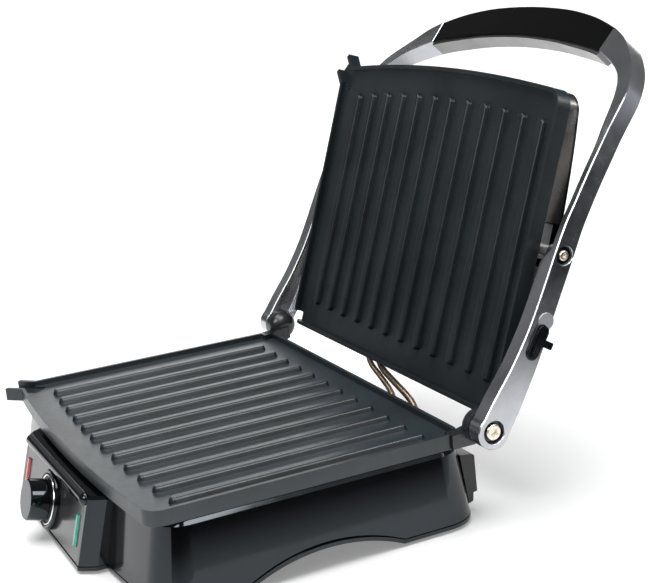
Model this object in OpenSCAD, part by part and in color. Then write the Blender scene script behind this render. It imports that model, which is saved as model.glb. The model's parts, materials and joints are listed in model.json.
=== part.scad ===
// Electric contact grill with a floating ribbed lid on two side arms.
// Millimetres. Origin: middle of the resting plane under the four feet.
// +X is the right-hand side, +Y the back (hinges), +Z up, the control panel faces -Y.
// Drawn with the lid open at 108 degrees from closed.

/* [Cooking plates] */
// Centre-to-centre distance of the ribs
rib_pitch = 24; // [23:0.5:24.5]
// Number of ribs on each plate
rib_count = 12; // [8:2:12]
// Height of a rib above the plate floor
rib_h = 3.7; // [2.5:0.1:4.2]
// Width of a rib at its flat top
rib_top_w = 6.4; // [4:0.1:8]
// Width of each cooking plate
plate_w = 314; // [308:1:314]
// Sideways offset of the rib field, which leaves room for the drain gutter
rib_shift = 8; // [4:1:9]

/* [Base] */
// Height of the rib tops above the table
rib_top_z = 64; // [64:1:64]
// Width of the housing at its bottom edge
base_w = 332; // [326:1:334]
// Wall thickness of the housing
wall = 3; // [2.4:0.1:3.4]
// Height of the arch in the bottom edge, under each side
arch_h = 12.5; // [8:0.5:13]

/* [Arms] */
// Distance between the outer faces of the two arms
arms_w = 356; // [356:1:358]
// Thickness of an arm at its lower part
arm_t = 13; // [12:0.5:13]
// Thickness of an arm above the lid pivot
arm_t_up = 6; // [5:0.5:8]
// Radius of the arm eye
eye_r = 12; // [11:0.5:12.5]

/* [Controls] */
// Diameter of the thermostat knob
knob_d = 29; // [26:1:32]
// How far the knob stands out of its ring
knob_len = 18.5; // [14:0.5:20]
// Backward slope of the control panel, degrees
panel_tilt = 15; // [15:1:15]

/* [Hidden] */

rear_y = 92;                 // rear ends of the lower ribs
hy = 125; hz = 67.2;         // hinge axis
py = 186; pz = 176;          // lid pivot axis in the arms
lid_ang = 72.05;             // slope of the open upper plate
lid_y = 141.8; lid_z = 90.2; // rear ends of the upper ribs, lid open
hw = plate_w/2;
a0 = -22;                    // rear edge of a plate, measured from the rear rib ends
a1 = 201.8;                  // its front corners
bow = 7;                     // extra length in the middle of the front edge
cr = 13;                     // its corner radius
skirt = 10;                  // depth of the plate below the rib tops
rim_up = 0.5;                // the rim stands this far above the rib tops
xo = arms_w/2;               // outer face of the right arm
u_ang = 48.3;                // slope of the handle's plane
uy = 280.4; uz = 312.9;      // a point of that plane, at the top of the grip's ends
arch_y = 4.5; arch_half = 54.5;
arch_r = (arch_half*arch_half + arch_h*arch_h)/(2*arch_h);
arch_z = 2 + arch_h - arch_r;
eps = 0.01;

// ---------- shape helpers ----------
function arc(cx, cy, r, b0, b1, n) =
  [for (i = [0:n]) [cx + r*cos(b0 + (b1-b0)*i/n), cy + r*sin(b0 + (b1-b0)*i/n)]];

// closed outline, rounded at four corners, with a bowed front; front is at the y1 end
function bowed(w, y0, y1, r, b, n = 7) =
  let (sx = w - r + r*cos(84), sy = y1 - r + r*sin(84))
  concat(arc(w-r, y1-r, r, 0, 84, n),
    [for (i = [1:15]) let (x = sx - 2*sx*i/16) [x, sy + b*(1 - pow(x/sx, 2))]],
    arc(-w+r, y1-r, r, 96, 180, n), arc(-w+r, y0+r, r, 180, 270, n), arc(w-r, y0+r, r, 270, 360, n));

function plate_pts(o) = bowed(hw - o, a0 + o, a1 - o, cr - min(o, 9), bow);

// smooth curve through p (each entry a list of numbers), k points to a span
function cr1(a, b, c, d, t) = 0.5*((2*b) + (c-a)*t + (2*a - 5*b + 4*c - d)*t*t + (3*b - a - 3*c + d)*t*t*t);
function smooth(p, k) = let (m = len(p)-1) concat(
  [for (i = [0:m-1]) for (j = [0:k-1]) cr1(p[max(i-1,0)], p[i], p[i+1], p[min(i+2,m)], j/k)], [p[m]]);

module rbox(x0, x1, y0, y1, z0, z1) translate([x0, y0, z0]) cube([x1-x0, y1-y0, z1-z0]);
module xcyl(y, z, r, x0, x1, f = 48) translate([x0, y, z]) rotate([90, 0, 90]) cylinder(r = r, h = x1-x0, $fn = f);
module both() { children(); mirror([1, 0, 0]) children(); }
module yz_slab(pts, x0, x1) translate([x0, 0, 0]) rotate([90, 0, 90]) linear_extrude(x1-x0) polygon(pts);

// ---------- frames ----------
// lower plate: local x across, y to the front, z up from the rib tops
module at_lower() translate([0, rear_y, rib_top_z]) mirror([0, 1, 0]) children();
// the lid: local y runs up the open lid from the rear rib ends, z faces the cook
module at_lid() translate([0, lid_y, lid_z]) rotate([lid_ang, 0, 0]) children();
// the panel: local z stands out of the panel, y runs up it
module at_panel() translate([0, -129.8, 25]) rotate([90 - panel_tilt, 0, 0]) children();
// the handle's plane: local x across, y up the handle, z towards the cook
module at_handle() translate([0, uy, uz]) rotate([u_ang, 0, 0]) children();

// ---------- cooking plates ----------
function rib_len(x) = 180.3 + 6.9*(1 - pow(x/132, 2));

// half of a rib's section, with a rounded shoulder; h is its height from where it is sunk in the floor
rib_r = 1.6;
function rib_half(h) = let (t = rib_top_w/2, g = atan(1.2/h), cx = t + rib_r*1.2/h - rib_r/cos(g))
  concat([[t + 1.2, 0]], [for (i = [0:3]) let (q = g + (90 - g)*i/3) [cx + rib_r*cos(q), h - rib_r + rib_r*sin(q)]]);

module rib(x, l) {
  t = rib_top_w/2; h = rib_h + 0.4; q = rib_half(h);   // sunk 0.4 into the plate floor
  translate([x, 0, -h]) {
    for (y = [t, l - t]) translate([0, y, 0]) rotate_extrude($fn = 24) polygon(concat([[0, 0]], q, [[0, h]]));
    translate([0, l - t, 0]) rotate([90, 0, 0]) linear_extrude(l - 2*t)
      polygon(concat(q, [for (i = [len(q)-1:-1:0]) [-q[i][0], q[i][1]]]));
  }
}

boss_at = [[-126, 30], [126, 30], [-126, 150], [126, 150]];

module cooking_plate(bz) {
  difference() {
    union() {
      translate([0, 0, -skirt]) linear_extrude(skirt + rim_up) polygon(plate_pts(0));
      translate([-148, 193, 0]) rotate(45) rbox(-11.3, 11.3, -6, 16.3, -9, rim_up);
    }
    // dished top
    translate([0, 0, -rib_h]) linear_extrude(20) polygon(plate_pts(2.8));
    // hollow underside
    translate([0, 0, -skirt-1]) linear_extrude(skirt + 1 - rib_h - 4) polygon(plate_pts(3.6));
    // spout channel and its way through the rim
    translate([-148, 193, 0]) rotate(45) rbox(-7.6, 7.6, -9, 20, -rib_h-1.2, 10);
    // rear corners make room for the hinge brackets
    both() rbox(148, 170, a0-5, a0+10.2, -30, 10);
  }
  n = rib_count;
  for (i = [0:n-1]) let (x = (i - (n-1)/2)*rib_pitch) rib(x + rib_shift, rib_len(x));
  for (p = boss_at) translate([p[0], p[1], bz]) difference() {
    cylinder(r = 4.6, h = -bz - rib_h - 2, $fn = 32);
    translate([0, 0, -1]) cylinder(r = 1.7, h = 7.5, $fn = 24);
  }
}

// round-bar heating loop lying under a plate, ends turned away from it
module heater_loop() {
  r = 3.2; X = 112; y0 = 22; y1 = 158; R = 24; z = -rib_h - 4 - r - 0.05;
  module bar(x0, y, x1) translate([x0, y, z]) rotate([0, 90, 0]) cylinder(r = r, h = x1-x0, $fn = 24);
  module bend(cx, cy, b) translate([cx, cy, z]) rotate(b) rotate_extrude(angle = 90, $fn = 48) translate([R, 0]) circle(r, $fn = 24);
  bar(-X+R, y1, X-R);
  bar(-X+R, y0, -14); bar(14, y0, X-R);
  for (s = [-1, 1]) translate([s*X, y0+R, z]) rotate([-90, 0, 0]) cylinder(r = r, h = y1-y0-2*R, $fn = 24);
  bend(X-R, y1-R, 0); bend(-X+R, y1-R, 90); bend(-X+R, y0+R, 180); bend(X-R, y0+R, 270);
  for (s = [-1, 1]) {
    translate([s*14, y0, z]) sphere(r, $fn = 24);
    translate([s*14, y0, z-7]) cylinder(r = 1.6, h = 7, $fn = 16);
  }
}

// sheet tray that hangs under a plate from its four bosses
module reflector() {
  difference() {
    translate([0, 0, -23.8]) linear_extrude(10.5) polygon(plate_pts(13));
    translate([0, 0, -22.8]) linear_extrude(30) polygon(plate_pts(14));
    for (p = boss_at) translate([p[0], p[1], -30]) cylinder(r = 2.1, h = 30, $fn = 24);
    rbox(-24, 24, 14, 32, -30, -20);
  }
}

module plate_screws_set(z) {
  for (p = boss_at) translate([p[0], p[1], z]) difference() {
    union() { cylinder(r = 3.4, h = 2.15, $fn = 32); cylinder(r = 1.65, h = 8.5, $fn = 24); }
    translate([0, 0, -0.5]) cylinder(r = 1.3, h = 1.8, $fn = 6);
  }
}

module lower_plate() color([0.13, 0.15, 0.165]) at_lower() cooking_plate(-22.8);
module upper_plate() color([0.13, 0.15, 0.165]) at_lid() cooking_plate(-15.2);
module lower_heater() color([0.45, 0.42, 0.38]) at_lower() heater_loop();
module upper_heater() color([0.45, 0.42, 0.38]) at_lid() heater_loop();
module lower_reflector() color([0.75, 0.75, 0.73]) at_lower() reflector();
module lower_plate_screws() color([0.7, 0.7, 0.7]) at_lower() plate_screws_set(-26);

// ---------- base ----------
function base_pts(w, yf, yb, r, b) = [for (p = bowed(w, -yb, -yf, r, b)) [p[0], -p[1]]];
bw = base_w/2;
function outer_at(z, o) =            // outline of the housing at height z, inset o
  let (t = (51 - z)/46) base_pts(158 + (bw-158)*t - o, -103 - 9.5*t + o, 115 + 6.6*t - o, 20 + 6*t - min(o, 6)*0.8, 8);

module slab(pts, z0, h) translate([0, 0, z0]) linear_extrude(h) polygon(pts);

function nose_pts(z, o) =            // outline of the protruding panel housing
  let (y = -129.8 + (z - 25)*tan(panel_tilt) + o, h = 76 - o)
  [[h+7, -96], [h+7, y+11], [h+1.5, y+2.6], [h-1, y], [-h+1, y], [-h-1.5, y+2.6], [-h-7, y+11], [-h-7, -96]];

// bottom edge of the housing, with an arch under each side
module below_edge(up) {
  rbox(-220, 220, -220, 220, -60, 2 + up);
  xcyl(arch_y, arch_z, arch_r + up, -220, 220, 160);
}

cover_screw_at = [[152.5, 82], [152.5, -80]];

module base_housing() color([0.03, 0.03, 0.035]) difference() {
  union() {
    difference() {
      union() {
        hull() { slab(outer_at(51, 2.2), 53, 1); slab(outer_at(51, 0), 50.6, 0.4); slab(outer_at(3, 0), 3, 0.4); }
        hull() { slab(nose_pts(50.5, 1.5), 50.6, 0.4); slab(nose_pts(49, 0), 48.6, 0.4); slab(nose_pts(3, 0), 3, 0.4); }
      }
      hull() { slab(outer_at(50.5, wall), 50, 0.5); slab(outer_at(0, wall), -1, 0.4); }
      hull() { slab(nose_pts(47, wall), 46.6, 0.4); slab(nose_pts(0, wall), -1, 0.4); }
      // opening under the cooking plate
      translate([0, rear_y, 40]) mirror([0, 1, 0]) linear_extrude(30) polygon(plate_pts(9));
    }
    // screw bosses that carry the bottom cover
    for (p = cover_screw_at, s = [-1, 1]) translate([s*p[0], p[1], 4]) cylinder(r = 4.5, h = 48, $fn = 32);
  }
  below_edge(3.2);
  for (p = cover_screw_at, s = [-1, 1]) translate([s*p[0], p[1], -1]) cylinder(r = 1.6, h = 24, $fn = 24);
  at_panel() {
    translate([0, 0, -2.2]) linear_extrude(20) polygon(panel_pts(-0.15));
    translate([0, 0, -12]) cylinder(r = 15, h = 24, $fn = 48);
    for (s = [-1, 1]) rbox(s*63-6, s*63+6, -13, 13, -12, 4);
    for (s = [-1, 1]) translate([s*40, 0, -20]) cylinder(r = 1.7, h = 40, $fn = 24);
  }
  // way for the mains cord gland, for the two conduits and for the bracket legs
  translate([-96, 100, 26]) rotate([-90, 0, 0]) cylinder(r = 8.2, h = 40, $fn = 48);
  for (x = conduit_x) translate([x, 106, 46]) rotate([-90, 0, 0]) cylinder(r = 5.2, h = 26, $fn = 32);
  both() rbox(148.1, 153.7, 98.7, 106.5, 44, 60);
}

module bottom_cover() color([0.05, 0.05, 0.055]) {
  difference() {
    union() {
      intersection() {
        slab(outer_at(2, 0.2), -20, 60);
        difference() { below_edge(2.6); below_edge(0); }
      }
      intersection() {
        translate([0, 0, -20]) linear_extrude(60) polygon(nose_pts(2, 0.2));
        difference() { below_edge(2.6); below_edge(0); }
      }
      // upstand that fits inside the housing wall
      difference() {
        intersection() {
          slab(outer_at(0, wall + 4.4), -20, 60);
          difference() { below_edge(8); below_edge(0); }
        }
        slab(outer_at(0, wall + 6.2), -21, 70);
        rbox(-90, 90, -140, -60, -20, 60);
      }
      for (p = cover_screw_at, s = [-1, 1]) translate([s*p[0], p[1], 2]) cylinder(r = 5.5, h = 1.9, $fn = 32);
    }
    for (p = cover_screw_at, s = [-1, 1]) translate([s*p[0], p[1], -1]) {
      cylinder(r = 2, h = 10, $fn = 24);
      cylinder(r = 3.6, h = 4.4, $fn = 32);
    }
    for (p = foot_at, s = [-1, 1]) translate([s*p[0], p[1], -1]) cylinder(r = 3.05, h = 10, $fn = 32);
    // cooling slots
    for (x = [-60:15:60]) rbox(x-3, x+3, 66, 96, -10, 20);
  }
}

foot_at = [[138, 103.5], [138, -103.5]];
module rubber_feet() color([0.04, 0.04, 0.04])
  for (p = foot_at, s = [-1, 1]) translate([s*p[0], p[1], 0]) {
    rotate_extrude($fn = 48) polygon([[0, 0], [8.2, 0], [9, 0.8], [9, 1.98], [0, 1.98]]);
    translate([0, 0, 1]) cylinder(r = 3, h = 4.2, $fn = 32);
  }

module base_screws() color([0.7, 0.7, 0.7])
  for (p = cover_screw_at, s = [-1, 1]) translate([s*p[0], p[1], 0.95]) difference() {
    union() { cylinder(r = 3.3, h = 2.4, $fn = 32); cylinder(r = 1.55, h = 20, $fn = 24); }
    translate([0, 0, -0.5]) cylinder(r = 1.3, h = 1.8, $fn = 6);
  }

module rear_stands() color([0.10, 0.10, 0.105]) both() difference() {
  yz_slab([[116.4, 43.5], [126.5, 42], [128, 40.5], [128.8, 14.6], [125.8, 14], [125.2, 8], [121.7, 6.8]], 118, 146);
  for (z = [20, 34]) translate([132, 110, z]) rotate([-90, 0, 0]) cylinder(r = 1.8, h = 30, $fn = 24);
  rbox(123, 141, 124, 140, 24, 30);
}

module cord_gland() color([0.05, 0.05, 0.05]) translate([-96, 108, 26]) rotate([-90, 0, 0]) difference() {
  union() {
    cylinder(r = 7.9, h = 16, $fn = 48);
    translate([0, 0, 12.2]) cylinder(r = 10, h = 3.6, $fn = 48);
    translate([0, 0, 0]) cylinder(r = 9.6, h = 2.4, $fn = 48);
  }
  translate([0, 0, -1]) cylinder(r = 3.8, h = 30, $fn = 32);
}

module terminal_block() color([0.82, 0.80, 0.74]) difference() {
  rbox(-126, -84, 78, 96, 24, 38);
  for (x = [-119, -105, -91]) {
    translate([x, 87, 30]) cylinder(r = 2.2, h = 10, $fn = 24);
    translate([x, 70, 30]) rotate([-90, 0, 0]) cylinder(r = 2, h = 40, $fn = 24);
  }
}

module thermal_fuse() color([0.75, 0.72, 0.66]) at_lower() {
  translate([30, 88, -rib_h-4-4.6]) rotate([0, 90, 0]) cylinder(r = 4.5, h = 14, $fn = 32);
  for (x = [22, 44.1]) translate([x, 88, -rib_h-4-4.6]) rotate([0, 90, 0]) cylinder(r = 1, h = 7.9, $fn = 16);
}

// ---------- hinge ----------
module hinge_brackets() color([0.07, 0.075, 0.08]) both() difference() {
  union() {
    translate([0, hy, hz]) rotate([90, 0, 90]) rotate_extrude($fn = 64)
      polygon(concat([for (i = [0:10]) [12*sin(9*i), 158 - 7*cos(9*i)]], [[12, 164.6], [0, 164.6]]));
    yz_slab([[104.2, 54.3], [104.2, 63.9], [112, 64.3], [120, 66], [128, 67], [128, 57.5], [121, 54.3]], 149, 159);
    // leg that goes down into the housing
    rbox(148.4, 153.4, 99, 106.2, 30, 53.9);
    rbox(148.4, 153.4, 104.3, 106.2, 50, 56);
  }
  xcyl(hy, hz, 4.05, 152.4, 170);
  translate([140, 102.6, 38]) rotate([0, 90, 0]) cylinder(r = 1.7, h = 20, $fn = 24);
}

module hex_screw(r, h, rs, l) difference() {       // head above z = 0, shank below
  union() { rotate_extrude($fn = 48) polygon([[0, 0], [r, 0], [r, h-0.7], [r-0.7, h], [0, h]]); translate([0, 0, -l]) cylinder(r = rs, h = l + 0.5, $fn = 48); }
  translate([0, 0, h-1.9]) cylinder(r = r*0.5, h = 4, $fn = 6);
}

module hinge_screws() color([0.80, 0.78, 0.72]) both() translate([174.9, hy, hz]) rotate([0, 90, 0]) hex_screw(5.5, 2.9, 4, 22);

module hinge_bushes() color([0.03, 0.03, 0.03]) both() translate([165.1, hy, hz]) rotate([0, 90, 0]) difference() {
  union() { cylinder(r = 6.46, h = 9.2, $fn = 48); translate([0, 0, 8.95]) cylinder(r = 7.4, h = 0.75, $fn = 48); }
  translate([0, 0, -1]) cylinder(r = 4.06, h = 20, $fn = 48);
}

// ---------- arms ----------
// centre line of the arm seen from the side, with its half width
arm_c = smooth([[126.6, 69.3, 11.5], [134.5, 81, 11.3], [140.5, 90, 10.7], [146.5, 99.1, 9.9], [152.6, 109, 9.3],
  [163.4, 128.8, 8.2], [174.4, 151.6, 7.8], [184.9, 173.8, 7.9], [194.4, 193.6, 7.5], [201.9, 206.4, 7.1],
  [209.8, 219.6, 7], [220, 235.5, 7], [235.2, 256.7, 6.9], [256.3, 278.2, 7.2], [273.2, 291.6, 8.8],
  [287.5, 306.6, 9.5], [303, 324, 9.5]], 3);
function side_pts(o, k0, k1) = let (n = len(arm_c)-1)
  concat([for (i = [k0:k1]) let (d = arm_c[min(i+1, n)] - arm_c[max(i-1, 0)], m = sqrt(d[0]*d[0] + d[1]*d[1]), h = arm_c[i][2] - o)
      [arm_c[i][0] - d[1]/m*h, arm_c[i][1] + d[0]/m*h]],
    [for (i = [k1:-1:k0]) let (d = arm_c[min(i+1, n)] - arm_c[max(i-1, 0)], m = sqrt(d[0]*d[0] + d[1]*d[1]), h = arm_c[i][2] - o)
      [arm_c[i][0] + d[1]/m*h, arm_c[i][1] - d[0]/m*h]]);

// the arm seen square to the handle's plane: outside edge, then inside edge
xi = xo - arm_t; xu = xo - arm_t_up;
arm_out = smooth([[xo, -104], [177.7, -88], [176.8, -71], [174, -55], [168.1, -42.3], [158.6, -31], [145.3, -18.7], [131, -7.6], [115.2, 0]], 4);
arm_in = smooth([[113.6, -20], [133, -28], [147, -36], [155, -43.5], [161, -53], [165.4, -64], [168.8, -78], [xu-0.4, -94], [xu, -108]], 4);
front_pts = concat([[xo, -330]], arm_out, arm_in, [[xu, -166], [xi, -174.5], [xi, -330]]);

slot_a = [157.7, 115.7]; slot_b = [165.2, 128];   // ends of the lock slot's centre line
slot_dir = (slot_b - slot_a)/norm(slot_b - slot_a);

module handle_socket() at_handle() translate([0, 0, -13.2]) linear_extrude(7.4) polygon(core_pts(4.2, 130));

module arm_blank() {
  intersection() {
    union() {
      yz_slab(side_pts(0, 0, len(arm_c)-1), 100, xo);
      xcyl(hy, hz, eye_r, 150, xo, 96);
    }
    at_handle() translate([0, 0, -160]) linear_extrude(320) polygon(front_pts);
  }
  xcyl(py, pz, 6.3, xi, xo - 2);
}

module arm_common() difference() {
  arm_blank();
  // eye: bush bore and screw recess
  xcyl(hy, hz, 6.5, 160, 190); xcyl(hy, hz, 7.6, 174, 190);
  // lid pivot: bush bore and screw recess
  xcyl(py, pz, 4.6, 160, 190); xcyl(py, pz, 6.1, 175.2, 190);
  // hollow back of the lower part
  intersection() {
    yz_slab(side_pts(2.6, 0, 21), xi-5, xo-3);
    difference() {
      rbox(150, xo, 100, 200, 60, 200);
      xcyl(hy, hz, eye_r + 1.5, 150, 190); xcyl(py, pz, 7.6, 150, 190);
      rbox(150, 190, 100, 200, 161, 200);
    }
  }
  handle_socket();
  for (x = [121]) at_handle() translate([x, -14, -30]) cylinder(r = 1.75, h = 24, $fn = 24);
}

module left_arm() color([0.70, 0.71, 0.73]) mirror([1, 0, 0]) arm_common();
module right_arm() color([0.70, 0.71, 0.73]) difference() {
  arm_common();
  // slot for the lock slider, through the outer wall, and the seat of its plate
  slot_cut(5.2, xo - 1.0, xo + 5);
  slot_cut(3.4, xi - 2, xo + 5);
}

module slot_cut(r, x0, x1) {
  xcyl(slot_a[0], slot_a[1], r, x0, x1); xcyl(slot_b[0], slot_b[1], r, x0, x1);
  n = [-slot_dir[1], slot_dir[0]]*r;
  yz_slab([slot_a + n, slot_b + n, slot_b - n, slot_a - n], x0, x1);
}

module lock_plate() color([0.025, 0.025, 0.03]) difference() {
  slot_cut(5.1, xo - 0.95, xo + 0.7);
  slot_cut(2.55, xo - 3, xo + 3);
}

// slider, drawn at the upper end of its slot; local x runs up the slot, y to the front of the arm
slider_u = [6.4, 14.3];        // round ends of the neck in the slot
module lock_slider() color([0.02, 0.02, 0.025])
  translate([0, slot_a[0], slot_a[1]]) rotate([90, 0, 90]) rotate(atan2(slot_dir[1], slot_dir[0])) difference() {
    union() {
      for (u = slider_u) translate([u, 0, xo - 5]) cylinder(r = 2.45, h = 6.2, $fn = 32);
      translate([slider_u[0], -2.45, xo - 5]) cube([slider_u[1]-slider_u[0], 4.9, 6.2]);
      translate([5.8, -3.6, xo - 7.2]) cube([9, 7.8, 2.4]);
      // sheet behind the wall that closes the slot
      translate([0, 0, xo - 4.85]) linear_extrude(1.6) polygon(concat(arc(16.5, 0, 3.1, -90, 90, 12), arc(-2, 0, 3.1, 90, 270, 12)));
      // body in front of the slot plate
      translate([0, 0, xo + 0.9]) linear_extrude(1.7)
        polygon(concat(arc(14.6, 0, 4.3, -90, 90, 14), [[5.2, 4.3], [4.6, 3.7], [4.6, -3.7], [5.2, -4.3]]));
      // lever, reaching past the rear edge of the arm
      translate([0, 0, xo + 1.2]) linear_extrude(3.3)
        polygon(concat(arc(9.6, -8.7, 1.1, -90, 0, 4), [[10.7, 2], [9.7, 3], [6.7, 3], [5.7, 2]], arc(6.8, -8.7, 1.1, 180, 270, 4)));
    }
    // ring-shaped dish round a dot at its upper end
    translate([14.9, 0, xo + 2.1]) difference() { cylinder(r = 3.3, h = 2, $fn = 32); translate([0, 0, -1]) cylinder(r = 1.5, h = 4, $fn = 24); }
  }

module pivot_bushes() color([0.03, 0.03, 0.03]) both() translate([165.2, py, pz]) rotate([0, 90, 0]) difference() {
  union() { cylinder(r = 4.56, h = 10.2, $fn = 48); translate([0, 0, 10.1]) cylinder(r = 6, h = 0.6, $fn = 48); }
  translate([0, 0, -1]) cylinder(r = 3.05, h = 20, $fn = 48);
}

// ---------- handle ----------
grip_top = smooth([[115.2, 0], [98, 5.6], [78, 10.6], [46, 15.4], [0, 17.4], [-46, 15.4], [-78, 10.6], [-98, 5.6], [-115.2, 0]], 3);
grip_bot = smooth([[-113.6, -20], [-98, -17.4], [-78, -14.6], [-46, -11], [0, -9.2], [46, -11], [78, -14.6], [98, -17.4], [113.6, -20]], 3);
lin_bot = smooth([[-112, -22.8], [-98, -19.9], [-78, -16.9], [-46, -13], [0, -11], [46, -13], [78, -16.9], [98, -19.9], [112, -22.8]], 3);
function core_pts(h, x) = let (m = 24) concat(          // curved bar of half height h, half length x
  [for (i = [0:m]) let (t = x - 2*x*i/m) [t, 1.5 - 13*pow(t/115, 2) + h - 2.5]],
  [for (i = [m:-1:0]) let (t = x - 2*x*i/m) [t, 1.5 - 13*pow(t/115, 2) - h - 2.5]]);

module handle_core() color([0.6, 0.6, 0.6]) at_handle() difference() {
  translate([0, 0, -13]) linear_extrude(7) polygon(core_pts(4, 129));
  for (x = [-121, 121]) translate([x, -14, -30]) cylinder(r = 1.5, h = 40, $fn = 24);
}

module handle_grip() color([0.012, 0.012, 0.013]) at_handle() difference() {
  translate([0, 0, -16.4]) linear_extrude(16.2) polygon(concat(grip_top, grip_bot));
  translate([0, 0, -13.2]) linear_extrude(7.4) polygon(core_pts(4.2, 131));
}

module handle_liner() color([0.78, 0.76, 0.74]) at_handle() difference() {
  translate([0, 0, -14.6]) linear_extrude(13.2) polygon(concat([for (p = grip_bot) p - [0, 0.12]], [for (i = [len(lin_bot)-1:-1:0]) lin_bot[i]]));
  translate([0, 0, -13]) linear_extrude(10) polygon(concat([for (p = grip_bot) p + [0, 1]], [for (i = [len(lin_bot)-1:-1:0]) lin_bot[i] + [0, 0.9]]));
}

module handle_screws() color([0.7, 0.7, 0.7]) at_handle() for (x = [-121, 121]) translate([x, -14, -19.9]) difference() {
  union() { translate([0, 0, 0]) cylinder(r = 1.45, h = 12, $fn = 24); translate([0, 0, -1.4]) cylinder(r = 2.9, h = 1.6, $fn = 32); }
  translate([0, 0, -2]) cylinder(r = 1.2, h = 1.5, $fn = 6);
}

// ---------- lid ----------
// side view of the lid's back, in the lid's own y and z
lid_roof = smooth([[-30, -18.5], [-20, -20], [0, -22], [40, -24], [80, -24.2], [120, -22.8], [160, -20], [190, -16.6], [204, -14.4], [214, -12.4]], 3);
module under_roof(o) rotate([90, 0, 90]) translate([0, 0, -200]) linear_extrude(400)
  polygon(concat([[-30, -10.2], [214, -10.2]], [for (i = [len(lid_roof)-1:-1:0]) lid_roof[i] + [0, o]]));
module lid_prism(o) translate([0, 0, -60]) linear_extrude(80) polygon(plate_pts(o));
module pivot_window(e) rbox(148, 170, 84 - e, 114 + e, -30, 0);

module lid_cover() color([0.62, 0.60, 0.56]) at_lid() difference() {
  intersection() { lid_prism(1.2); under_roof(0); }
  intersection() { lid_prism(2); under_roof(0.8); }
  rbox(-200, 200, -40, 220, -10.2, 0);
  both() pivot_window(0);
  for (x = conduit_lx) rbox(x-5, x+9, -30, -10, -18.6, -9);
}

module lid_edge_trim() color([0.03, 0.03, 0.03]) at_lid() difference() {
  intersection() { lid_prism(0.9); under_roof(-1.7); }
  intersection() { lid_prism(-5); under_roof(-0.15); }
  lid_prism(14);
}

module lid_pan() color([0.2, 0.2, 0.21]) at_lid() difference() {
  translate([0, 0, -12.6]) linear_extrude(2.5) polygon(plate_pts(4.6));
  translate([0, 0, -30]) linear_extrude(40) polygon(plate_pts(11.4));
  both() rbox(146.4, 170, 88, 114, -30, 0);
}

module upper_reflector() color([0.75, 0.75, 0.73]) at_lid() difference() {
  translate([0, 0, -16.1]) linear_extrude(2.9) intersection() { polygon(plate_pts(14)); translate([-200, -40]) square([400, 214]); }
  translate([0, 0, -15.3]) linear_extrude(30) intersection() { polygon(plate_pts(14.8)); translate([-200, -40]) square([400, 213.2]); }
  for (p = boss_at) translate([p[0], p[1], -30]) cylinder(r = 2.1, h = 30, $fn = 24);
  rbox(-24, 24, 14, 32, -30, -10);
}

module upper_plate_screws() color([0.7, 0.7, 0.7]) at_lid() plate_screws_set(-18.3);

// steel leaves screwed inside the lid's sides, each with the boss of its pivot
piv_a = (py - lid_y)*cos(lid_ang) + (pz - lid_z)*sin(lid_ang);
piv_n = -(py - lid_y)*sin(lid_ang) + (pz - lid_z)*cos(lid_ang);
module lid_pivot_brackets() color([0.55, 0.54, 0.5]) at_lid() both() difference() {
  union() {
    rbox(149, 152, 89, 113, -20.6, -10.4);
    rbox(145.8, 149.5, 80, 120, -14.1, -12.7);
    translate([149, piv_a, piv_n]) rotate([0, 90, 0]) cylinder(r = 4, h = 15.6, $fn = 48);
  }
  translate([140, piv_a, piv_n]) rotate([0, 90, 0]) cylinder(r = 3.02, h = 40, $fn = 48);
}

module lid_pivot_screws() color([0.80, 0.78, 0.72]) both() translate([175.95, py, pz]) rotate([0, 90, 0]) hex_screw(3.5, 1.9, 3, 25);

// ---------- controls ----------
function panel_pts(o) = let (w = 71 - o, b = -20.5 + o, t = 20 - o)
  concat(arc(w-3, t-3, 3, 0, 90, 4), arc(-w+3, t-3, 3, 90, 180, 4), arc(-w+3, b+3, 3, 180, 270, 4), arc(w-3, b+3, 3, 270, 360, 4));

module control_panel() color([0.05, 0.05, 0.055]) at_panel() difference() {
  translate([0, 0, -2.1]) linear_extrude(2.1) polygon(panel_pts(0));
  translate([0, 0, -5]) cylinder(r = 4.5, h = 10, $fn = 48);
  for (s = [-1, 1]) rbox(s*63-3, s*63+3, -11, 11, -5, 5);
  for (s = [-1, 1]) translate([s*40, 0, -3]) cylinder(r = 1.4, h = 2, $fn = 24);
}

// ledge along the top of the panel
module panel_brow() color([0.02, 0.02, 0.022]) at_panel() difference() {
  hull() for (x = [-66, 69]) translate([x, 23.8, -0.7]) sphere(r = 4.7, $fn = 40);
  rbox(-90, 90, 10, 40, -10, 0.05);
  cylinder(r = 21.7, h = 20, $fn = 96);
}

module knob_bezel() color([0.02, 0.02, 0.022]) at_panel() translate([0, 0.25, 0]) difference() {
  rotate_extrude($fn = 96) polygon([[4.4, 0.05], [21.2, 0.05], [21.2, 2.2], [20.9, 3.2], [20.2, 3.9], [19.2, 4.1], [18.4, 3.7], [18, 2.8], [18, 0.9], [4.4, 0.9]]);
}

module knob_chrome_ring() color([0.9, 0.9, 0.9]) at_panel()
  rotate_extrude($fn = 96) polygon([[16.5, 0.95], [17.7, 0.95], [17.7, 3.5], [17.5, 3.9], [17.1, 4.1], [16.7, 3.9], [16.5, 3.5]]);

module thermostat_knob() color([0.02, 0.02, 0.022]) at_panel() difference() {
  rotate_extrude($fn = 96) polygon([[0, 1.6], [knob_d/2 + 1, 1.6], [knob_d/2 + 1, 3.2], [knob_d/2 + 0.2, 4], [knob_d/2, knob_len-1], [knob_d/2 - 1, knob_len], [0, knob_len]]);
  translate([0, 0, 1]) cylinder(r = 3.02, h = 10, $fn = 48);
}

module knob_shaft() color([0.75, 0.75, 0.75]) at_panel() translate([0, 0, -9]) cylinder(r = 2.98, h = 19.5, $fn = 48);

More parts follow.
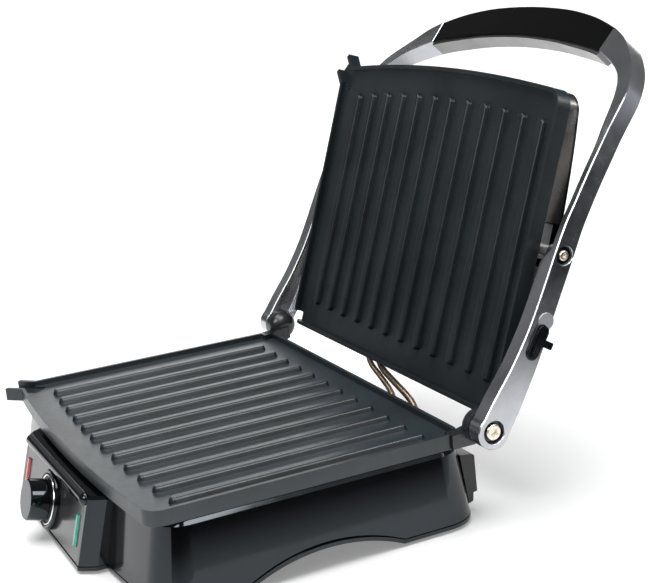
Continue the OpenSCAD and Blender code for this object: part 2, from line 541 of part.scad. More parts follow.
module thermostat() color([0.7, 0.68, 0.62]) at_panel() difference() {
  union() {
    rbox(-15, 15, -13, 13, -27, -9.8);
    translate([0, 0, -10]) cylinder(r = 9, h = 7.6, $fn = 48);
  }
  translate([0, 0, -9.6]) cylinder(r = 3.04, h = 20, $fn = 48);
}

module lens() {
  rbox(-2.9, 2.9, -10.9, 10.9, -2, 0.4);
  rotate([90, 0, 0]) translate([0, 0, -10.6]) linear_extrude(21.2) polygon([[-2.7, 0.35], [2.7, 0.35], [1.3, 1.5], [-1.3, 1.5]]);
}
module heating_lamp_lens() color([0.75, 0.15, 0.12]) at_panel() translate([-63, 0, 0]) lens();
module ready_lamp_lens() color([0.1, 0.6, 0.45]) at_panel() translate([63, 0, 0]) lens();

module indicator_lamps() color([0.9, 0.7, 0.5]) at_panel() for (s = [-1, 1]) translate([s*63, 0, -5.8]) {
  rotate([90, 0, 0]) translate([0, 0, -7]) cylinder(r = 2.4, h = 14, $fn = 32);
  translate([0, -8.9, -1.2]) rbox(-2, 2, 0, 3, -3, 2.4);
}

// ---------- conduits between base and lid ----------
conduit_x = [50, 82];                       // where they leave the base
conduit_lx = [-48, -32];                    // where they enter the lid
conduit_r = [2.3, 2.6];
conduit_pts = [
  [[54, 103, 40], [52, 110, 43.6], [46, 119, 46.2], [34, 128, 47.6], [19, 135, 48.8], [3, 140, 50.2],
   [-15, 143, 54], [-33, 146, 57.7], [-43, 149, 61.8], [-47, 151.3, 67.5], [-48, 153.3, 75.2]],
  [[86, 103, 40], [84, 110, 43.6], [79, 119, 46.8], [67, 128, 49.6], [52, 134, 51.2], [35.4, 138, 52.7],
   [11, 142, 55.2], [-13, 146, 57.9], [-25, 148.8, 61.6], [-31, 150.9, 67.5], [-32, 152.8, 75.2]]];
module link_conduits() color([0.55, 0.47, 0.36]) for (i = [0, 1]) tube(smooth(conduit_pts[i], 2), conduit_r[i], 10);

function unit(v) = v/norm(v);
// tube of radius r along a path, k sides
module tube(p, r, k) {
  m = len(p) - 1; ref = [0.6, 0.7, -0.4];
  pts = [for (i = [0:m]) let (d = unit(p[min(i+1, m)] - p[max(i-1, 0)]), u = unit(cross(d, ref)), v = cross(d, u))
    for (j = [0:k-1]) p[i] + r*cos(360*j/k)*u - r*sin(360*j/k)*v];
  polyhedron(points = pts, faces = concat([[for (j = [k-1:-1:0]) j]], [[for (j = [0:k-1]) m*k + j]],
    [for (i = [0:m-1]) for (j = [0:k-1]) [i*k + j, i*k + (j+1)%k, (i+1)*k + (j+1)%k, (i+1)*k + j]]));
}

base_housing();
bottom_cover();
rubber_feet();
base_screws();
control_panel();
panel_brow();
knob_bezel();
knob_chrome_ring();
heating_lamp_lens();
ready_lamp_lens();
indicator_lamps();
thermostat();
lower_plate();
lower_plate_screws();
lower_heater();
lower_reflector();
thermal_fuse();
terminal_block();
cord_gland();
rear_stands();
hinge_brackets();
hinge_screws();
thermostat_knob();
knob_shaft();
right_arm();
left_arm();
hinge_bushes();
handle_core();
handle_grip();
handle_liner();
handle_screws();
pivot_bushes();
lock_plate();
lock_slider();
upper_plate();
upper_plate_screws();
lid_pan();
lid_cover();
lid_edge_trim();
upper_heater();
upper_reflector();
lid_pivot_brackets();
lid_pivot_screws();
link_conduits();
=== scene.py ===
import bpy
import bmesh
import json
import math
import numpy as np
from mathutils import Matrix, Vector


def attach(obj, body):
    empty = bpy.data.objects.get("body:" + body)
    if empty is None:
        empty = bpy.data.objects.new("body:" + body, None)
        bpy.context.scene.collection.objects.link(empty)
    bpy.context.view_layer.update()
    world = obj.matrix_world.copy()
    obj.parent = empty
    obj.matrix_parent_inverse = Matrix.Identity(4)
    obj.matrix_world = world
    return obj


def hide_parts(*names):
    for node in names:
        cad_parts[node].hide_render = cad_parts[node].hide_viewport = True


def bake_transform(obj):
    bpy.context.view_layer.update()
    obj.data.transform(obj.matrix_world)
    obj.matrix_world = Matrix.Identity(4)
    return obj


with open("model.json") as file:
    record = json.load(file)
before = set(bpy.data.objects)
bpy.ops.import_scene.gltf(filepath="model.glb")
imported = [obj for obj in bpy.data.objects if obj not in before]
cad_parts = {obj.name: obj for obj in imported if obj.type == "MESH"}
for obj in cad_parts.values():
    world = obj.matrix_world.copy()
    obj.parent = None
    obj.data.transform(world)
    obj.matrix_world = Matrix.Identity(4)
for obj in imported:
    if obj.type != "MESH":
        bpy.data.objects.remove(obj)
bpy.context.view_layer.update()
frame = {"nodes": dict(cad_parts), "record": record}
NODES = frame["nodes"]
BODY = {n: b for b, ns in frame["record"]["behaviour"]["bodies"].items() for n in ns}
SLOT = {s["node"]: s["material_slot"] for s in frame["record"]["subparts"]}


# ---------------------------------------------------------------- materials
def new_mat(name, base, rough, metal=0.0, coat=0.0, coat_rough=0.05, spec=0.5, aniso=0.0):
    m = bpy.data.materials.new(name)
    m.use_nodes = True
    nt = m.node_tree
    b = nt.nodes["Principled BSDF"]
    b.inputs["Base Color"].default_value = (*base, 1)
    b.inputs["Roughness"].default_value = rough
    b.inputs["Metallic"].default_value = metal
    b.inputs["Coat Weight"].default_value = coat
    b.inputs["Coat Roughness"].default_value = coat_rough
    b.inputs["Specular IOR Level"].default_value = spec
    b.inputs["Anisotropic"].default_value = aniso
    return m, nt, b


def coords(nt, scale=(1, 1, 1), rot=(0, 0, 0)):
    tc = nt.nodes.new("ShaderNodeTexCoord")
    mp = nt.nodes.new("ShaderNodeMapping")
    mp.inputs["Scale"].default_value = scale
    mp.inputs["Rotation"].default_value = rot
    nt.links.new(tc.outputs["Object"], mp.inputs["Vector"])
    return mp.outputs["Vector"]


def noise(nt, vec, scale, detail=3.0, rough=0.55, dist=0.0):
    n = nt.nodes.new("ShaderNodeTexNoise")
    n.inputs["Scale"].default_value = scale
    n.inputs["Detail"].default_value = detail
    n.inputs["Roughness"].default_value = rough
    n.inputs["Distortion"].default_value = dist
    nt.links.new(vec, n.inputs["Vector"])
    return n.outputs["Fac"]


def ramp(nt, fac, stops):
    r = nt.nodes.new("ShaderNodeValToRGB")
    e = r.color_ramp.elements
    while len(e) < len(stops):
        e.new(0.5)
    for k, (p, c) in enumerate(stops):
        e[k].position = p
        e[k].color = (*c, 1) if len(c) == 3 else c
    nt.links.new(fac, r.inputs["Fac"])
    return r.outputs["Color"]


def span(nt, fac, lo, hi, a=0.0, b=1.0):
    r = nt.nodes.new("ShaderNodeMapRange")
    r.inputs["From Min"].default_value = a
    r.inputs["From Max"].default_value = b
    r.inputs["To Min"].default_value = lo
    r.inputs["To Max"].default_value = hi
    nt.links.new(fac, r.inputs["Value"])
    return r.outputs["Result"]


def bump(nt, b, height, strength, distance, prev=None):
    n = nt.nodes.new("ShaderNodeBump")
    n.inputs["Strength"].default_value = strength
    n.inputs["Distance"].default_value = distance
    nt.links.new(height, n.inputs["Height"])
    if prev is not None:
        nt.links.new(prev, n.inputs["Normal"])
    nt.links.new(n.outputs["Normal"], b.inputs["Normal"])
    return n.outputs["Normal"]


def mixf(nt, a, b, how="MULTIPLY"):
    m = nt.nodes.new("ShaderNodeMath")
    m.operation = how
    nt.links.new(a, m.inputs[0])
    nt.links.new(b, m.inputs[1])
    return m.outputs[0]


def moulded(name, c0, c1, r0, r1, coat=0.0, grain=0.0, grain_scale=2600.0, spec=0.5, coat_rough=0.04):
    """Moulded plastic or enamel: slow colour and gloss drift, faint surface waviness, optional grain."""
    m, nt, b = new_mat(name, c0, r0, 0.0, coat, coat_rough, spec)
    v = coords(nt)
    slow = noise(nt, v, 14.0, 4.0)
    fine = noise(nt, v, grain_scale, 2.0)
    nt.links.new(ramp(nt, slow, [(0.3, c0), (0.72, c1)]), b.inputs["Base Color"])
    nt.links.new(span(nt, noise(nt, v, 60.0, 5.0), r0, r1, 0.3, 0.75), b.inputs["Roughness"])
    n1 = bump(nt, b, noise(nt, v, 22.0, 1.0), 0.03, 0.002)
    if grain:
        bump(nt, b, fine, grain, 0.0001, n1)
    return m


def cast_metal(name, c0, c1, r0, r1, grain=0.08, scale=1500.0):
    m, nt, b = new_mat(name, c0, r0, 1.0)
    v = coords(nt)
    nt.links.new(ramp(nt, noise(nt, v, 30.0, 5.0), [(0.3, c0), (0.7, c1)]), b.inputs["Base Color"])
    nt.links.new(span(nt, noise(nt, v, 45.0, 6.0), r0, r1, 0.3, 0.7), b.inputs["Roughness"])
    n1 = bump(nt, b, noise(nt, v, 90.0, 3.0), 0.04, 0.0006)
    bump(nt, b, noise(nt, v, scale, 2.0), grain, 0.00008, n1)
    return m


def brushed(name, c0, c1, r0, r1, along=(0.02, 1, 1), rot=(0, 0, 0), strength=0.12):
    m, nt, b = new_mat(name, c0, r0, 1.0, aniso=0.35)
    v = coords(nt, along, rot)
    line = noise(nt, v, 3800.0, 3.0, 0.7)
    broad = noise(nt, v, 420.0, 3.0)
    nt.links.new(ramp(nt, mixf(nt, line, broad, "ADD"), [(0.35, c0), (1.0, c1)]), b.inputs["Base Color"])
    nt.links.new(span(nt, line, r0, r1, 0.3, 0.7), b.inputs["Roughness"])
    bump(nt, b, line, strength, 0.00006)
    return m


def nonstick(name="nonstick_coating", spec=0.55, k=1.0):
    m, nt, b = new_mat(name, (0.017, 0.023, 0.027), 0.34, 0.0, 0.0, 0.1, spec)
    v = coords(nt)
    slow = noise(nt, v, 18.0, 5.0)
    speck = noise(nt, v, 2400.0, 2.0, 0.6)
    tone = lambda *c: tuple(k * x for x in c)
    c = ramp(nt, mixf(nt, slow, speck, "ADD"), [(0.55, tone(0.0120, 0.0170, 0.0205)), (1.0, tone(0.018, 0.0255, 0.0300)), (1.35, tone(0.026, 0.035, 0.041))])
    nt.links.new(c, b.inputs["Base Color"])
    nt.links.new(span(nt, noise(nt, v, 130.0, 6.0), 0.30, 0.36, 0.3, 0.7), b.inputs["Roughness"])
    n1 = bump(nt, b, noise(nt, v, 900.0, 3.0), 0.04, 0.00008)
    bump(nt, b, speck, 0.06, 0.00005, n1)
    return m


def lens(name, c0, c1):
    m, nt, b = new_mat(name, c0, 0.12, 0.0, 0.6, 0.03)
    v = coords(nt)
    w = nt.nodes.new("ShaderNodeTexWave")
    w.inputs["Scale"].default_value = 420.0
    w.inputs["Distortion"].default_value = 0.4
    nt.links.new(coords(nt, (1, 1, 1), (0, 0.6, 0)), w.inputs["Vector"])
    nt.links.new(ramp(nt, noise(nt, v, 160.0, 3.0), [(0.3, c0), (0.75, c1)]), b.inputs["Base Color"])
    bump(nt, b, w.outputs["Fac"], 0.2, 0.0002)
    b.inputs["Subsurface Weight"].default_value = 0.25
    b.inputs["Subsurface Radius"].default_value = (0.002, 0.002, 0.002)
    b.inputs["Subsurface Scale"].default_value = 0.5
    return m


def screw_metal(name, c0, c1, rough=0.2):
    """Turned metal: rings round the screw's own axis stand in as very fine noise streaks."""
    m, nt, b = new_mat(name, c0, rough, 1.0)
    v = coords(nt)
    nt.links.new(ramp(nt, noise(nt, v, 700.0, 5.0), [(0.3, c0), (0.7, c1)]), b.inputs["Base Color"])
    nt.links.new(span(nt, noise(nt, v, 1300.0, 3.0), rough * 0.7, rough * 1.5, 0.3, 0.7), b.inputs["Roughness"])
    bump(nt, b, noise(nt, coords(nt, (0.1, 1, 1)), 3500.0, 2.0), 0.1, 0.00006)
    return m


def glassy():
    m, nt, b = new_mat("lamp_glass", (0.95, 0.8, 0.6), 0.05)
    b.inputs["Transmission Weight"].default_value = 0.6
    nt.links.new(ramp(nt, noise(nt, coords(nt), 300.0), [(0.3, (0.9, 0.7, 0.45)), (0.7, (1.0, 0.86, 0.66))]), b.inputs["Base Color"])
    return m


MAT = {
    "black_gloss": moulded("black_gloss", (0.0022, 0.0023, 0.0028), (0.0036, 0.0037, 0.0044), 0.05, 0.10),
    "black_matte": moulded("black_matte", (0.009, 0.009, 0.010), (0.016, 0.016, 0.018), 0.34, 0.46, grain=0.35, grain_scale=2200.0),
    "rubber": moulded("rubber", (0.012, 0.012, 0.012), (0.02, 0.02, 0.02), 0.6, 0.75, grain=0.25, grain_scale=1600.0, spec=0.35),
    "zinc": screw_metal("zinc", (0.62, 0.63, 0.64), (0.74, 0.74, 0.74), 0.25),
    "warm_steel": screw_metal("warm_steel", (0.66, 0.60, 0.50), (0.82, 0.76, 0.66), 0.22),
    "chrome": screw_metal("chrome", (0.86, 0.86, 0.88), (0.92, 0.92, 0.93), 0.18),
    "red_lens": lens("red_lens", (0.42, 0.03, 0.025), (0.60, 0.06, 0.05)),
    "green_lens": lens("green_lens", (0.02, 0.30, 0.20), (0.04, 0.46, 0.33)),
    "lamp_glass": glassy(),
    "ceramic": moulded("ceramic", (0.62, 0.59, 0.52), (0.70, 0.67, 0.60), 0.3, 0.4, grain=0.1),
    "nonstick": nonstick(),
    "element": cast_metal("element", (0.16, 0.14, 0.12), (0.26, 0.22, 0.19), 0.4, 0.55),
    "reflector": brushed("reflector", (0.62, 0.62, 0.60), (0.78, 0.78, 0.76), 0.22, 0.34),
    "arm_alloy": cast_metal("arm_alloy", (0.42, 0.43, 0.45), (0.50, 0.51, 0.53), 0.20, 0.30, 0.05),
    "dark_casting": moulded("dark_casting", (0.012, 0.014, 0.017), (0.020, 0.023, 0.027), 0.22, 0.32, grain=0.12, grain_scale=1800.0, spec=0.6),
    "steel": brushed("steel", (0.42, 0.42, 0.42), (0.55, 0.55, 0.55), 0.3, 0.45),
    "lid_steel": brushed("lid_steel", (0.095, 0.090, 0.081), (0.145, 0.138, 0.127), 0.20, 0.30),
    "liner": cast_metal("liner", (0.20, 0.197, 0.194), (0.25, 0.247, 0.244), 0.30, 0.38, 0.03, 1200.0),
    "conduit": cast_metal("conduit", (0.27, 0.205, 0.135), (0.40, 0.32, 0.235), 0.24, 0.38, 0.04, 900.0),
}
MAT["black_gloss"].node_tree.nodes["Principled BSDF"].inputs["Specular Tint"].default_value = (0.82, 0.92, 1.0, 1)
# painted shade: the grip is the same glossy black plastic, given an even darker colour and a lower specular so its top
# reads dark as if in shade
GRIP_SHADED_MAT = moulded("grip_black_painted_shade", (0.0010, 0.0010, 0.0011), (0.0018, 0.0018, 0.0020), 0.05, 0.09, spec=0.22)
# painted shade: the upper plate has the same non-stick coating as the lower one, but its colour is darkened to 70 % and
# its specular lowered so it reads shaded
UPPER_SHADED_MAT = nonstick("nonstick_upper_painted_shade", 0.30, 0.70)
PANEL_MAT = moulded("panel_face", (0.020, 0.021, 0.023), (0.028, 0.029, 0.032), 0.16, 0.24, coat=0.2, grain=0.06, grain_scale=2400.0)


def paint(o, m):
    o.data.materials.clear()
    o.data.materials.append(m)


for n, o in NODES.items():
    paint(o, MAT[SLOT[n]])
    for p in o.data.polygons:
        p.use_smooth = True
    o.data.set_sharp_from_angle(angle=math.radians(28))


# ---------------------------------------------------------------- helpers for pieces
def put(name, me, body, mat, stands_for=()):
    o = bpy.data.objects.new(name, me)
    bpy.context.scene.collection.objects.link(o)
    paint(o, mat)
    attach(o, body)
    for n in stands_for:
        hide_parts(n)
    return o


def smooth(me, ang=30):
    for p in me.polygons:
        p.use_smooth = True
    me.set_sharp_from_angle(angle=math.radians(ang))


def clean_copy(node, flat=0.4, merge=2e-6):
    """The node's mesh with its triangles joined back into flat faces."""
    me = NODES[node].data.copy()
    bm = bmesh.new()
    bm.from_mesh(me)
    bmesh.ops.remove_doubles(bm, verts=bm.verts, dist=merge)
    bmesh.ops.dissolve_degenerate(bm, edges=bm.edges, dist=1e-6)
    bmesh.ops.dissolve_limit(bm, angle_limit=math.radians(flat), verts=bm.verts, edges=bm.edges, use_dissolve_boundaries=False)
    bm.to_mesh(me)
    bm.free()
    return me


def soften(node, width, seg=3, ang=30, flat=0.4, mat=None, shade=None, merge=2e-6):
    """A copy of a CAD node with its edges rounded, shown in the node's place."""
    me = clean_copy(node, flat, merge)
    o = bpy.data.objects.new(node + "_rounded", me)
    bpy.context.scene.collection.objects.link(o)
    b = o.modifiers.new("round", "BEVEL")
    b.width = width
    b.segments = seg
    b.limit_method = "ANGLE"
    b.angle_limit = math.radians(ang)
    b.use_clamp_overlap = shade is None
    b.harden_normals = False
    b.miter_outer = "MITER_ARC"
    if shade is None:
        w = o.modifiers.new("normals", "WEIGHTED_NORMAL")
        w.keep_sharp = True
    for p in me.polygons:
        p.use_smooth = True
    dg = bpy.context.evaluated_depsgraph_get()
    out = bpy.data.meshes.new_from_object(o.evaluated_get(dg), preserve_all_data_layers=True, depsgraph=dg)
    bpy.data.objects.remove(o)
    if shade is not None:                                    # flat chamfers with crisp borders
        out.set_sharp_from_angle(angle=math.radians(shade))
        o = bpy.data.objects.new(node + "_crisp", out)
        bpy.context.scene.collection.objects.link(o)
        w = o.modifiers.new("normals", "WEIGHTED_NORMAL")
        w.keep_sharp = True
        dg = bpy.context.evaluated_depsgraph_get()
        out = bpy.data.meshes.new_from_object(o.evaluated_get(dg), preserve_all_data_layers=True, depsgraph=dg)
        bpy.data.objects.remove(o)
    o = bpy.data.objects.new(node + "_rounded", out)
    bpy.context.scene.collection.objects.link(o)
    paint(o, mat or MAT[SLOT[node]])
    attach(o, BODY[node])
    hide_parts(node)
    return o


def lathe(name, profile, seg=64, closed=True):
    """profile: list of (radius, height) about local Z."""
    bm = bmesh.new()
    rings = []
    for r, z in profile:
        if r < 1e-9:
            rings.append([bm.verts.new((0, 0, z))])
        else:
            rings.append([bm.verts.new((r * math.cos(2 * math.pi * k / seg), r * math.sin(2 * math.pi * k / seg), z)) for k in range(seg)])
    for a, b in zip(rings[:-1], rings[1:]):
        for k in range(seg):
            k2 = (k + 1) % seg
            if len(a) == 1:
                bm.faces.new((a[0], b[k], b[k2]))
            elif len(b) == 1:
                bm.faces.new((a[k], a[k2], b[0]))
            else:
                bm.faces.new((a[k], a[k2], b[k2], b[k]))
    bmesh.ops.recalc_face_normals(bm, faces=bm.faces)
    me = bpy.data.meshes.new(name)
    bm.to_mesh(me)
    bm.free()
    smooth(me, 40)
    return me


PANEL = Matrix.Translation((0, -0.1298, 0.025)) @ Matrix.Rotation(math.radians(75), 4, "X")

# ---------------------------------------------------------------- camera (first, so every view can use it)
az, el, roll = math.radians(64.834), math.radians(14.42), math.radians(-4.77)
back = Vector((math.sin(az) * math.cos(el), -math.cos(az) * math.cos(el), math.sin(el)))
right = (-back).cross(Vector((0, 0, 1))).normalized()
up = right.cross(-back)
cx = right * math.cos(roll) + up * math.sin(roll)
cy = -right * math.sin(roll) + up * math.cos(roll)
cam_data = bpy.data.cameras.new("camera")
cam_data.sensor_width = 36.0
cam_data.sensor_fit = "HORIZONTAL"
cam_data.lens = 75.98
cam_data.clip_start = 0.05
cam_data.clip_end = 60.0
cam = bpy.data.objects.new("camera", cam_data)
m4 = Matrix((cx, cy, back)).transposed().to_4x4()
m4.translation = Vector((0.9003, -0.3283, 0.3898))
cam.matrix_world = m4
bpy.context.scene.collection.objects.link(cam)
bpy.context.scene.camera = cam

# ---------------------------------------------------------------- base, arms and lid with rounded edges
soften("base_housing", 0.0011, 4, 24, 0.4)
soften("bottom_cover", 0.0006, 3, 30)
soften("rear_stands", 0.0010, 3, 30)
soften("hinge_brackets", 0.0012, 4, 35, 1.0)
soften("control_panel", 0.0005, 3, 30, mat=PANEL_MAT)
soften("panel_brow", 0.0010, 3, 30)
soften("heating_lamp_lens", 0.0004, 3, 20)
soften("ready_lamp_lens", 0.0004, 3, 20)
soften("lower_plate", 0.0009, 3, 38)
soften("upper_plate", 0.0009, 3, 38, mat=UPPER_SHADED_MAT)
soften("right_arm", 0.0006, 1, 32, shade=26)
soften("left_arm", 0.0006, 1, 32, shade=26)
soften("handle_grip", 0.0032, 5, 40, mat=GRIP_SHADED_MAT)
soften("lid_cover", 0.0008, 3, 35)
soften("lid_edge_trim", 0.0004, 2, 35)
soften("lock_slider", 0.0008, 3, 30, mat=MAT["black_gloss"])
soften("lock_plate", 0.0003, 2, 40)
soften("lid_pivot_brackets", 0.0004, 2, 40)
soften("hinge_screws", 0.0003, 2, 40)
soften("lid_pivot_screws", 0.0003, 2, 40)
soften("hinge_bushes", 0.0003, 2, 40, mat=MAT["black_gloss"])
soften("pivot_bushes", 0.0003, 2, 40, mat=MAT["black_gloss"])

# ---------------------------------------------------------------- plain half-round silver area above the slot
def half_round():
    """Raised round area whose lower side follows the end of the slot plate."""
    C1, R1 = Vector((0.1691, 0.1344)), 0.0061
    C2, R2 = Vector((0.1652, 0.1280)), 0.0054
    d = (C1 - C2).length
    up = (C1 - C2) / d
    side = Vector((-up.y, up.x))
    a = (R1 * R1 - R2 * R2 + d * d) / (2 * d)                # from C1 towards C2
    half1 = math.acos(a / R1)
    half2 = math.acos((d - a) / R2)
    n = 48
    bm = bmesh.new()
    rows = []
    for k in range(n + 1):
        t = -1 + 2 * k / n
        g = (math.pi - half1) * t
        outer = C1 + (up * math.cos(g) + side * math.sin(g)) * R1
        h = half2 * t
        inner = C2 + (up * math.cos(h) + side * math.sin(h)) * R2
        w = (inner - outer).length
        row = []
        for dist, x in ((0.0, 0.17795), (0.0, 0.17834), (0.00012, 0.17846), (0.00062, 0.17846), (0.00078, 0.17826), (1.0, 0.17822), (1.0, 0.17795)):
            f = 0.0 if w < 1e-9 else min(1.0, dist / w)
            if dist < 1.0 and dist >= 0.5 * w:
                f = 0.5
            q = outer.lerp(inner, f)
            row.append(bm.verts.new((x, q.x, q.y)))
        rows.append(row)
    for a_, b_ in zip(rows[:-1], rows[1:]):
        for i in range(len(a_)):
            i2 = (i + 1) % len(a_)
            bm.faces.new((a_[i], b_[i], b_[i2], a_[i2]))
    bm.faces.new(rows[0])
    bm.faces.new(list(reversed(rows[-1])))
    bmesh.ops.remove_doubles(bm, verts=bm.verts, dist=1e-7)
    bmesh.ops.dissolve_degenerate(bm, edges=bm.edges, dist=1e-7)
    bmesh.ops.recalc_face_normals(bm, faces=bm.faces)
    me = bpy.data.meshes.new("half_round_mark")
    bm.to_mesh(me)
    bm.free()
    smooth(me, 35)
    return me


put("half_round_mark", half_round(), "arms", cast_metal("mark_metal", (0.52, 0.53, 0.55), (0.64, 0.65, 0.67), 0.3, 0.42, 0.1, 1300.0))

# ---------------------------------------------------------------- link conduits as close-wound springs
CONDUITS = [
    (2.3, 1.05, [(54, 103, 40), (52, 110, 43.6), (46, 119, 46.2), (34, 128, 47.6), (19, 135, 48.8), (3, 140, 50.2),
                 (-15, 143, 54), (-33, 146, 57.7), (-43, 149, 61.8), (-47, 151.3, 67.5), (-48, 153.3, 75.2)]),
    (2.6, 1.15, [(86, 103, 40), (84, 110, 43.6), (79, 119, 46.8), (67, 128, 49.6), (52, 134, 51.2), (35.4, 138, 52.7),
                 (11, 142, 55.2), (-13, 146, 57.9), (-25, 148.8, 61.6), (-31, 150.9, 67.5), (-32, 152.8, 75.2)]),
]


def spline(pts, step):
    """Smooth curve through pts, resampled to even steps."""
    p = [Vector(q) / 1000 for q in pts]
    dense = []
    for i in range(len(p) - 1):
        a, b, c, d = p[max(i - 1, 0)], p[i], p[i + 1], p[min(i + 2, len(p) - 1)]
        for k in range(40):
            t = k / 40
            dense.append(0.5 * ((2 * b) + (c - a) * t + (2 * a - 5 * b + 4 * c - d) * t * t + (3 * b - a - 3 * c + d) * t ** 3))
    dense.append(p[-1])
    run = [0.0]
    for a, b in zip(dense[:-1], dense[1:]):
        run.append(run[-1] + (b - a).length)
    n = int(run[-1] / step)
    out, k = [], 0
    for i in range(n + 1):
        s_ = run[-1] * i / n
        while k < len(run) - 2 and run[k + 1] < s_:
            k += 1
        f = (s_ - run[k]) / (run[k + 1] - run[k])
        out.append(dense[k].lerp(dense[k + 1], f))
    return out, run[-1]


bm = bmesh.new()
SIDES, PER = 14, 6
for r_mm, pitch_mm, pts in CONDUITS:
    r, pitch = r_mm / 1000, pitch_mm / 1000
    line, total = spline(pts, pitch / PER)
    u = (line[1] - line[0]).orthogonal().normalized()
    rings = []
    for i, c in enumerate(line):
        d = (line[min(i + 1, len(line) - 1)] - line[max(i - 1, 0)]).normalized()
        u = (u - d * u.dot(d)).normalized()
        v = d.cross(u)
        ring = []
        for k in range(SIDES):
            ang = 2 * math.pi * k / SIDES
            ph = (i * total / (len(line) - 1) / pitch - k / SIDES) % 1.0
            h = math.sqrt(max(0.0, 1 - (2 * ph - 1) ** 2))
            rr = r - 0.42 * pitch * (1 - h)
            ring.append(bm.verts.new(c + (u * math.cos(ang) + v * math.sin(ang)) * rr))
        rings.append(ring)
    for a, b in zip(rings[:-1], rings[1:]):
        for k in range(SIDES):
            k2 = (k + 1) % SIDES
            bm.faces.new((a[k], a[k2], b[k2], b[k]))
    bm.faces.new(list(reversed(rings[0])))
    bm.faces.new(rings[-1])
bmesh.ops.recalc_face_normals(bm, faces=bm.faces)
me = bpy.data.meshes.new("conduit_coils")
bm.to_mesh(me)
bm.free()
smooth(me, 50)
coils = bpy.data.objects.new("conduit_coils", me)
bpy.context.scene.collection.objects.link(coils)
paint(coils, MAT["conduit"])
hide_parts("link_conduits")
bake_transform(coils)

# ---------------------------------------------------------------- floor and light
bm = bmesh.new()
S = 48.0
n_ = 40
vs = [[bm.verts.new((-S + 2 * S * i / n_, -S + 2 * S * j / n_, -0.0003)) for j in range(n_ + 1)] for i in range(n_ + 1)]
for i in range(n_):
    for j in range(n_):
        bm.faces.new((vs[i][j], vs[i + 1][j], vs[i + 1][j + 1], vs[i][j + 1]))
fm = bpy.data.meshes.new("floor")
bm.to_mesh(fm)
bm.free()
floor = bpy.data.objects.new("floor", fm)
bpy.context.scene.collection.objects.link(floor)
m, nt, b = new_mat("floor_pale", (0.86, 0.86, 0.86), 0.55, spec=0.3)
nt.links.new(ramp(nt, noise(nt, coords(nt), 3.0, 3.0), [(0.3, (0.85, 0.85, 0.855)), (0.7, (0.87, 0.87, 0.87))]), b.inputs["Base Color"])
b.inputs["Emission Color"].default_value = (1, 1, 1, 1)
b.inputs["Emission Strength"].default_value = 0.24
paint(floor, m)

world = bpy.data.worlds.new("world")
bpy.context.scene.world = world
world.use_nodes = True
bg = world.node_tree.nodes["Background"]
bg.inputs["Color"].default_value = (0.95, 0.97, 1.0, 1)
bg.inputs["Strength"].default_value = 0.15


def area(name, loc, target, size, power, color=(1, 1, 1)):
    d = bpy.data.lights.new(name, "AREA")
    d.shape = "RECTANGLE"
    d.size, d.size_y = size
    d.energy = power
    d.color = color
    o = bpy.data.objects.new(name, d)
    o.location = loc
    o.visible_camera = False
    o.rotation_euler = (Vector(target) - Vector(loc)).to_track_quat("-Z", "Y").to_euler()
    bpy.context.scene.collection.objects.link(o)
    return o


sun_d = bpy.data.lights.new("sky_soft", "SUN")
sun_d.energy = 3.6
sun_d.angle = math.radians(60)
sun = bpy.data.objects.new("sky_soft", sun_d)
sun.rotation_euler = Vector((0.14, 0.05, -1.0)).to_track_quat("-Z", "Y").to_euler()
sun.visible_glossy = False
bpy.context.scene.collection.objects.link(sun)
area("left_soft", (-1.8, 1.20, 0.62), (0, 0, 0.06), (2.2, 0.9), 13)
area("front_fill", (0.9, -1.5, 1.2), (0, 0, 0.12), (1.2, 0.9), 3)
strip = area("edge_strip", (0.91, 0.52, 0.87), (0.16, 0.03, 0.05), (1.3, 0.7), 28)
strip.visible_diffuse = False
spot = area("corner_box", (0.80, -0.70, 0.87), (0.17, 0.10, 0.15), (0.55, 0.55), 9)
spot.visible_diffuse = False
topbox = area("top_box", (0.17, -0.07, 0.92), (0.08, -0.10, 0.04), (0.35, 0.85), 6)
topbox.visible_diffuse = False


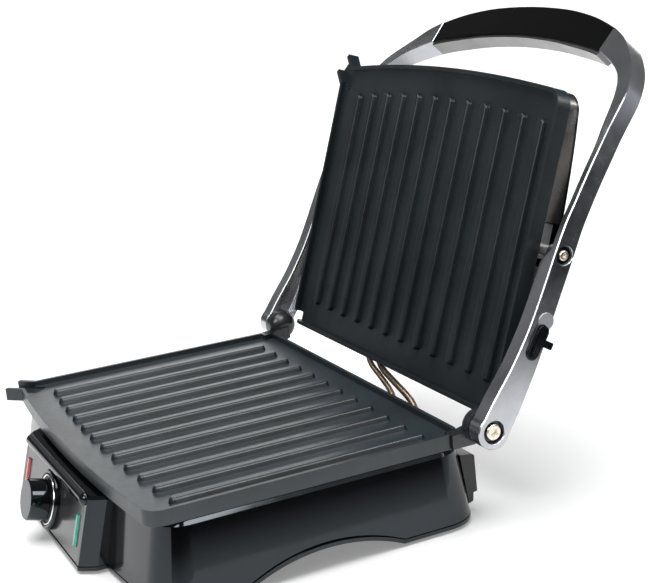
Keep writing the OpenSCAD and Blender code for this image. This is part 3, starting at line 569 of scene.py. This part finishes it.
def card(name, corners, stops, top, strength=1.0):
    """Reflection card: a wall seen only in reflections, graded from bottom to top."""
    bm = bmesh.new()
    bm.faces.new([bm.verts.new(c) for c in corners])
    me = bpy.data.meshes.new(name)
    bm.to_mesh(me)
    bm.free()
    o = bpy.data.objects.new(name, me)
    bpy.context.scene.collection.objects.link(o)
    m, nt, b = new_mat(name + "_cloth", (0.0, 0.0, 0.0), 1.0, spec=0.0)
    sep = nt.nodes.new("ShaderNodeSeparateXYZ")
    nt.links.new(coords(nt), sep.inputs[0])
    nt.links.new(ramp(nt, span(nt, sep.outputs["Z"], 0.0, 1.0, 0.0, top), stops), b.inputs["Emission Color"])
    b.inputs["Emission Strength"].default_value = strength
    paint(o, m)
    o.visible_camera = False
    o.visible_diffuse = False
    o.visible_shadow = False
    return o


# the dark side of the studio at the right, close to the object: dark above a bright foot, pale again at the top
card("base_card", ((0.36, -0.34, 0.0), (0.36, 0.205, 0.0), (0.36, 0.205, 0.13), (0.36, -0.34, 0.13)),
     [(0.0, (0.95, 0.96, 0.98)), (0.06, (0.75, 0.76, 0.78)), (0.14, (0.35, 0.36, 0.38)), (0.22, (0.05, 0.052, 0.058)),
      (0.30, (0.008, 0.008, 0.01)), (1.0, (0.01, 0.01, 0.012))], 0.13)
card("right_card", ((0.50, 0.03, 0.0), (0.26, 0.62, 0.0), (0.26, 0.62, 0.40), (0.50, 0.03, 0.40)),
     [(0.0, (0.95, 0.95, 0.96)), (0.035, (0.70, 0.71, 0.73)), (0.10, (0.10, 0.11, 0.13)), (0.22, (0.015, 0.017, 0.02)),
      (0.50, (0.04, 0.038, 0.045)), (0.72, (0.22, 0.23, 0.26)), (1.0, (0.55, 0.57, 0.60))], 0.40)

# pale wall band at the left front, which the front faces of the arms and the grip liner pick up
card("left_card", ((-1.10, 0.10, 0.0), (-1.00, -0.90, 0.0), (-1.00, -0.90, 0.95), (-1.10, 0.10, 0.95)),
     [(0.0, (0.80, 0.80, 0.80)), (0.10, (0.10, 0.10, 0.105)), (0.36, (0.10, 0.10, 0.105)), (0.42, (0.34, 0.34, 0.35)),
      (0.66, (0.34, 0.34, 0.35)), (0.74, (0.05, 0.05, 0.055))], 0.95)

bpy.context.scene.view_settings.view_transform = "Standard"
bpy.context.scene.view_settings.exposure = 0.0
